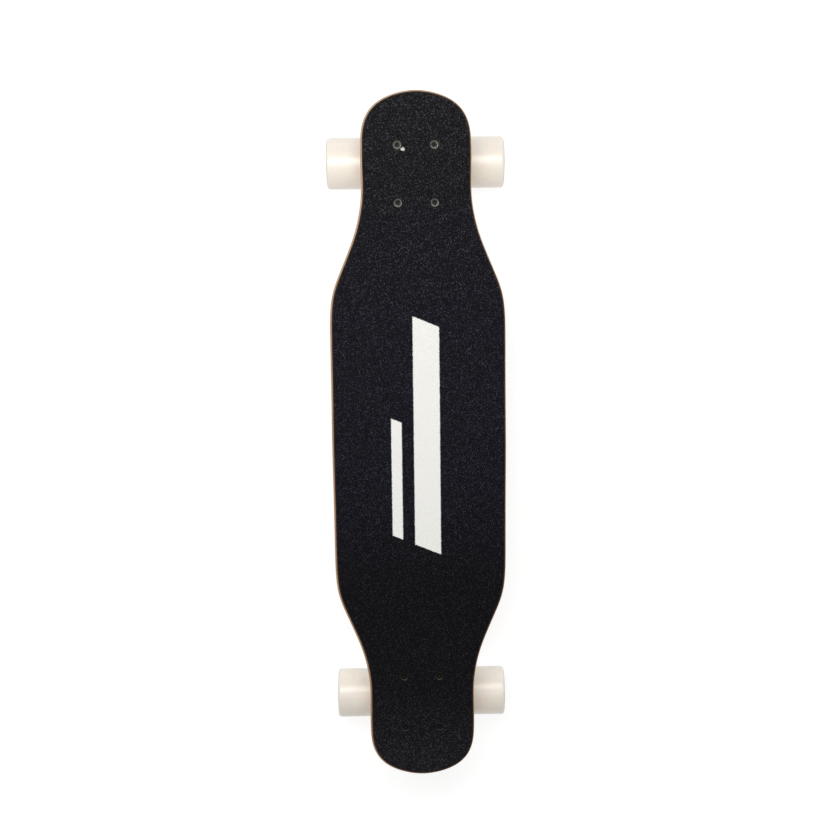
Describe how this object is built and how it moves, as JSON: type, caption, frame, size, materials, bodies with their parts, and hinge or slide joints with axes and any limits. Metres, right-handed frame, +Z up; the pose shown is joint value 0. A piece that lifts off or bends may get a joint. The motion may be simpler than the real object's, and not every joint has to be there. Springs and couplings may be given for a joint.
{
  "type": "electric skateboard",
  "caption": "Electric skateboard: flat cruiser deck with black grip tape, sprung trucks, cream urethane wheels, a hub motor and a battery enclosure underneath.",
  "frame": {"origin": "on the ground under the middle of the board", "axes": "+X to the right side, +Y to the nose, +Z up"},
  "size_m": [0.2046, 0.8002, 0.1013],
  "materials": {
    "maple": "sanded ply with a thin clear coat",
    "grip": "coarse black abrasive grip",
    "black_rubber": "matt",
    "cast_alloy": "die cast, tumbled",
    "alloy": "turned",
    "black_steel": "black oxide",
    "zinc_steel": "zinc plated",
    "bearing_steel": "ground",
    "black_urethane": "satin",
    "bushing_urethane": "satin",
    "wheel_urethane": "glossy cream urethane",
    "core_plastic": "moulded white",
    "case_plastic": "fine moulded texture",
    "button_plastic": "satin",
    "lens": "frosted",
    "cell_wrap": "shrink wrap",
    "holder_plastic": "moulded",
    "circuit_board": "solder mask",
    "lamination": "stacked sheet steel",
    "winding": "enamelled copper",
    "magnet": "nickel plated"
  },
  "bodies": {
    "board": {"deck": "maple", "grip_tape": "grip", "riser_pads": "black_rubber", "baseplates": "cast_alloy", "truck_bolts": "black_steel", "truck_locknuts": "zinc_steel", "kingpins": "zinc_steel", "kingpin_nuts": "zinc_steel", "bushing_washers": "zinc_steel", "pivot_cups": "black_urethane", "front_bushings": "bushing_urethane", "rear_bushings": "bushing_urethane", "enclosure": "case_plastic", "enclosure_gasket": "black_rubber", "enclosure_screws": "black_steel", "battery_cells": "cell_wrap", "cell_holders": "holder_plastic", "bms_board": "circuit_board", "esc_board": "circuit_board", "charge_port": "case_plastic", "charge_cap_pin": "zinc_steel", "indicator_lens": "lens", "button_housing": "case_plastic", "button_spring": "zinc_steel", "motor_cable_gland": "case_plastic"},
    "power_button": {"power_button": "button_plastic"},
    "charge_cap": {"charge_cap": "black_rubber"},
    "front_truck": {"front_hanger": "cast_alloy", "front_axle": "zinc_steel", "front_axle_nuts": "zinc_steel", "front_speed_washers": "zinc_steel", "front_inner_races": "bearing_steel", "front_bearing_spacers": "alloy"},
    "rear_truck": {"rear_hanger": "cast_alloy", "rear_axle": "zinc_steel", "rear_axle_nuts": "zinc_steel", "rear_speed_washers": "zinc_steel", "rear_inner_races": "bearing_steel", "rear_bearing_spacer": "alloy", "stator_core": "lamination", "stator_windings": "winding"},
    "front_left_wheel": {"front_left_tyre": "wheel_urethane", "front_left_core": "core_plastic", "front_left_outer_races": "bearing_steel"},
    "front_right_wheel": {"front_right_tyre": "wheel_urethane", "front_right_core": "core_plastic", "front_right_outer_races": "bearing_steel"},
    "rear_left_wheel": {"rear_left_tyre": "wheel_urethane", "rear_left_core": "core_plastic", "rear_left_outer_races": "bearing_steel"},
    "motor_wheel": {"motor_tyre": "wheel_urethane", "rotor_can": "alloy", "rotor_magnets": "magnet", "motor_cover": "alloy", "motor_cover_screws": "black_steel", "motor_outer_races": "bearing_steel"},
    "front_left_ball_set": {"front_left_bearing_balls": "bearing_steel"},
    "front_right_ball_set": {"front_right_bearing_balls": "bearing_steel"},
    "rear_left_ball_set": {"rear_left_bearing_balls": "bearing_steel"},
    "motor_ball_set": {"motor_bearing_balls": "bearing_steel"}
  },
  "joints": [
    {"name": "front_steer", "type": "hinge", "parent": "board", "child": "front_truck", "pos_m": [0, 0.29127, 0.05201], "axis": [0, 0.933, 0.3599], "range_deg": [-15, 15], "stiffness_Nm_per_rad": 60, "deforming": ["front_bushings"]},
    {"name": "rear_steer", "type": "hinge", "parent": "board", "child": "rear_truck", "pos_m": [0, -0.29127, 0.05201], "axis": [0, -0.933, 0.3599], "range_deg": [-15, 15], "stiffness_Nm_per_rad": 60, "deforming": ["rear_bushings"]},
    {"name": "front_left_spin", "type": "hinge", "parent": "front_truck", "child": "front_left_wheel", "pos_m": [-0.0798, 0.323, 0.0295], "axis": [1, 0, 0], "continuous": true},
    {"name": "front_right_spin", "type": "hinge", "parent": "front_truck", "child": "front_right_wheel", "pos_m": [0.0798, 0.323, 0.0295], "axis": [1, 0, 0], "continuous": true},
    {"name": "rear_left_spin", "type": "hinge", "parent": "rear_truck", "child": "rear_left_wheel", "pos_m": [-0.0798, -0.323, 0.0295], "axis": [1, 0, 0], "continuous": true},
    {"name": "motor_spin", "type": "hinge", "parent": "rear_truck", "child": "motor_wheel", "pos_m": [0.0798, -0.323, 0.0295], "axis": [1, 0, 0], "continuous": true},
    {"name": "front_left_ball_orbit", "type": "hinge", "parent": "front_truck", "child": "front_left_ball_set", "pos_m": [-0.0798, 0.323, 0.0295], "axis": [1, 0, 0], "continuous": true},
    {"name": "front_right_ball_orbit", "type": "hinge", "parent": "front_truck", "child": "front_right_ball_set", "pos_m": [0.0798, 0.323, 0.0295], "axis": [1, 0, 0], "continuous": true},
    {"name": "rear_left_ball_orbit", "type": "hinge", "parent": "rear_truck", "child": "rear_left_ball_set", "pos_m": [-0.0798, -0.323, 0.0295], "axis": [1, 0, 0], "continuous": true},
    {"name": "motor_ball_orbit", "type": "hinge", "parent": "rear_truck", "child": "motor_ball_set", "pos_m": [0.0798, -0.323, 0.0295], "axis": [1, 0, 0], "continuous": true},
    {"name": "power_button_press", "type": "slide", "parent": "board", "child": "power_button", "axis": [-1, 0, 0], "range_m": [0, 0.0015], "stiffness_N_per_m": 900, "springref_m": -0.0008, "deforming": ["button_spring"]},
    {"name": "charge_cap_hinge", "type": "hinge", "parent": "board", "child": "charge_cap", "pos_m": [0.0764, -0.095, 0.078], "axis": [0, -1, 0], "range_deg": [0, 100]}
  ],
  "couplings": [
    {"joint": "front_left_ball_orbit", "follows": "front_left_spin", "ratio": 0.6323},
    {"joint": "front_right_ball_orbit", "follows": "front_right_spin", "ratio": 0.6323},
    {"joint": "rear_left_ball_orbit", "follows": "rear_left_spin", "ratio": 0.6323},
    {"joint": "motor_ball_orbit", "follows": "motor_spin", "ratio": 0.6323}
  ]
}
